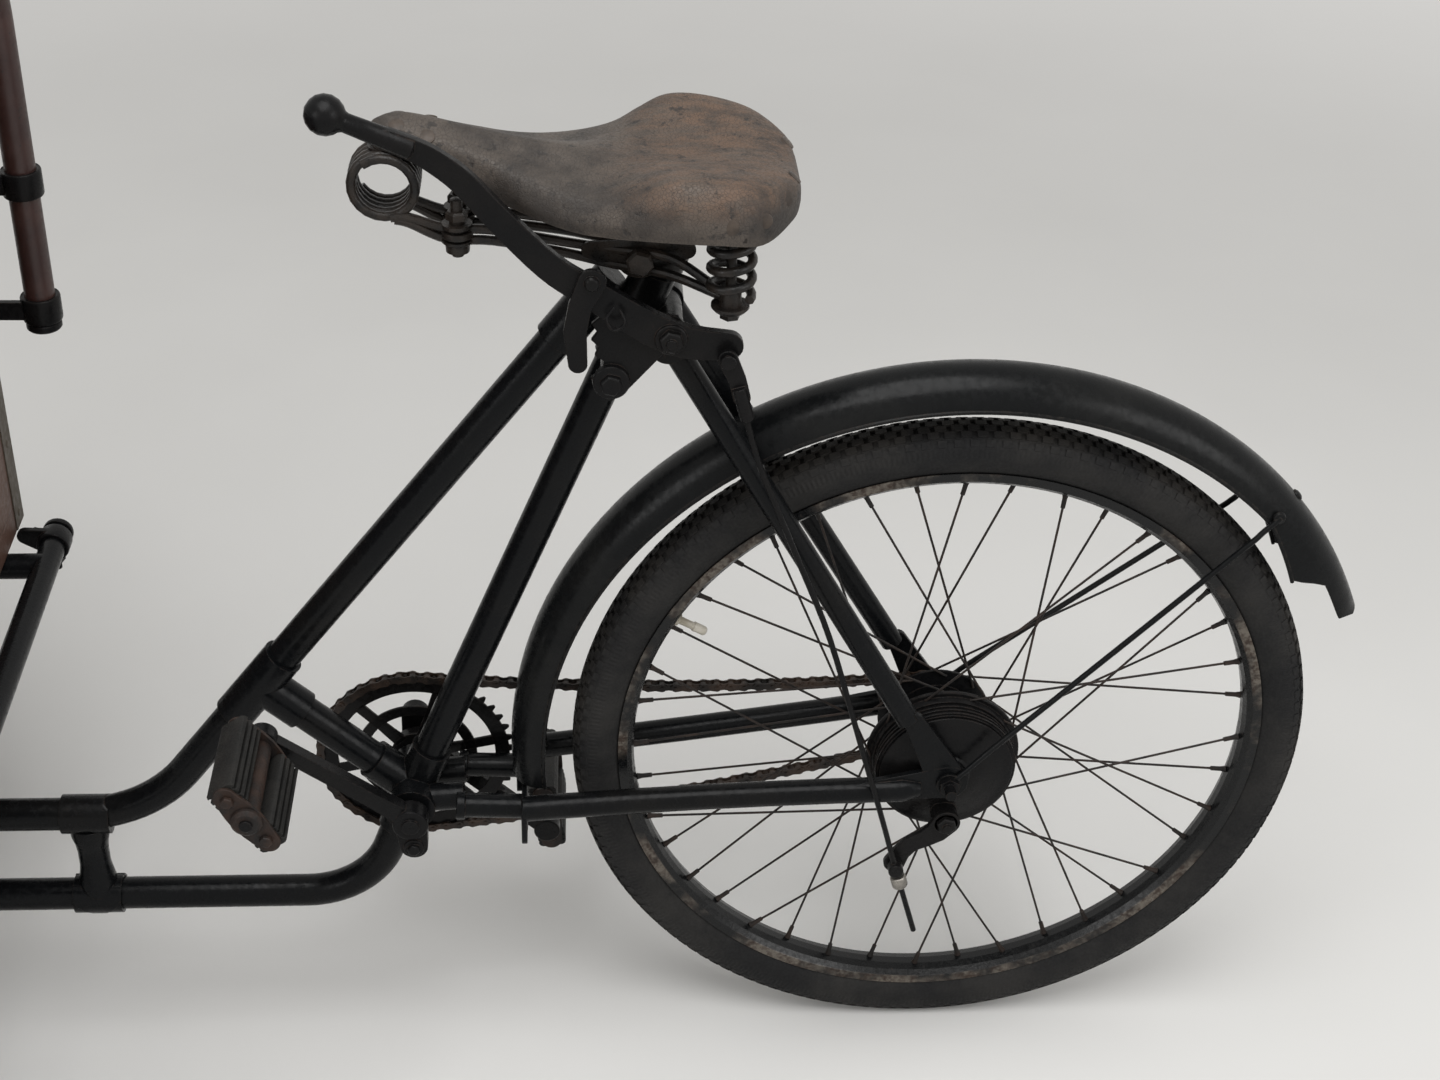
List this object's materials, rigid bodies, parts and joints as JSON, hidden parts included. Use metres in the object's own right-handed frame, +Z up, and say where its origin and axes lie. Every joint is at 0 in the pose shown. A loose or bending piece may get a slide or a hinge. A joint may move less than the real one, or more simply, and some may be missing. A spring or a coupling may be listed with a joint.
{
  "type": "box carrier tricycle",
  "caption": "Pedal carrier tricycle: one chain-driven rear wheel, low twin-tube frame, sprung leather saddle, and a lidded wooden box that steers with its two front wheels.",
  "frame": {"origin": "on the ground under the middle of the overall length, on the middle plane", "axes": "+X forward towards the box, +Y to the rider's left, +Z up"},
  "size_m": [2.0716, 0.886, 1.0189],
  "materials": {
    "frame_enamel": "gloss black enamel, worn",
    "mudguard_enamel": "satin black enamel, scuffed",
    "worn_steel": "black paint over oiled steel",
    "rusty_steel": "rusted, oily",
    "rim_enamel": "gloss black with a worn lip",
    "tyre_rubber": "dusty black rubber",
    "saddle_leather": "worn brown leather",
    "pedal_rubber": "ribbed aged rubber",
    "box_wood": "dark brown varnish",
    "handle_lacquer": "red-brown varnish"
  },
  "bodies": {
    "chassis": {"upper_tube": "frame_enamel", "lower_tube": "frame_enamel", "seat_tube": "frame_enamel", "down_tube": "frame_enamel", "bottom_bracket": "frame_enamel", "frame_lugs": "frame_enamel", "chain_stays": "frame_enamel", "seat_stays": "frame_enamel", "stay_bridge": "frame_enamel", "rear_mudguard": "mudguard_enamel", "rear_axle": "worn_steel", "brake_plate": "worn_steel", "saddle_post": "worn_steel", "saddle_top": "saddle_leather", "saddle_springs": "worn_steel", "ratchet_plate": "worn_steel", "brake_lever": "worn_steel", "brake_rod": "worn_steel", "chain": "rusty_steel"},
    "rear_wheel": {"rear_tyre": "tyre_rubber", "rear_rim": "rim_enamel", "rear_hub": "worn_steel", "rear_spokes": "rusty_steel", "rear_sprocket": "rusty_steel"},
    "crankset": {"crank_left": "worn_steel", "crank_right": "worn_steel", "chainwheel": "rusty_steel"},
    "left_pedal": {"pedal_left": "pedal_rubber"},
    "right_pedal": {"pedal_right": "pedal_rubber"},
    "carriage": {"kingpin": "frame_enamel", "front_axle": "frame_enamel", "front_springs": "worn_steel", "under_frame": "frame_enamel", "box_floor": "box_wood", "box_rear": "box_wood", "box_front": "box_wood", "box_left": "box_wood", "box_right": "box_wood", "push_handle": "handle_lacquer", "handle_clamps": "worn_steel"},
    "lid": {"box_lid": "box_wood"},
    "front_wheel_left": {"front_tyre_left": "tyre_rubber", "front_rim_left": "rim_enamel", "front_hub_left": "worn_steel", "front_spokes_left": "rusty_steel"},
    "front_wheel_right": {"front_tyre_right": "tyre_rubber", "front_rim_right": "rim_enamel", "front_hub_right": "worn_steel", "front_spokes_right": "rusty_steel"}
  },
  "joints": [
    {"name": "rear_wheel_spin", "type": "hinge", "parent": "chassis", "child": "rear_wheel", "pos_m": [-0.6742, 0, 0.335], "axis": [0, 1, 0], "continuous": true},
    {"name": "crank_spin", "type": "hinge", "parent": "chassis", "child": "crankset", "pos_m": [-0.1942, 0, 0.286], "axis": [0, 1, 0], "continuous": true},
    {"name": "left_pedal_spin", "type": "hinge", "parent": "crankset", "child": "left_pedal", "pos_m": [-0.07491, 0.13, 0.4], "axis": [0, 1, 0], "continuous": true},
    {"name": "right_pedal_spin", "type": "hinge", "parent": "crankset", "child": "right_pedal", "pos_m": [-0.31349, -0.13, 0.172], "axis": [0, 1, 0], "continuous": true},
    {"name": "steering", "type": "hinge", "parent": "chassis", "child": "carriage", "pos_m": [0.6158, 0, 0.22], "axis": [0, 0, 1], "range_deg": [-40, 40]},
    {"name": "lid_hinge", "type": "hinge", "parent": "carriage", "child": "lid", "pos_m": [1.0358, 0, 0.9087], "axis": [0, 1, 0], "range_deg": [0, 100]},
    {"name": "front_left_spin", "type": "hinge", "parent": "carriage", "child": "front_wheel_left", "pos_m": [0.6158, 0.385, 0.335], "axis": [0, 1, 0], "continuous": true},
    {"name": "front_right_spin", "type": "hinge", "parent": "carriage", "child": "front_wheel_right", "pos_m": [0.6158, -0.385, 0.335], "axis": [0, 1, 0], "continuous": true}
  ]
}
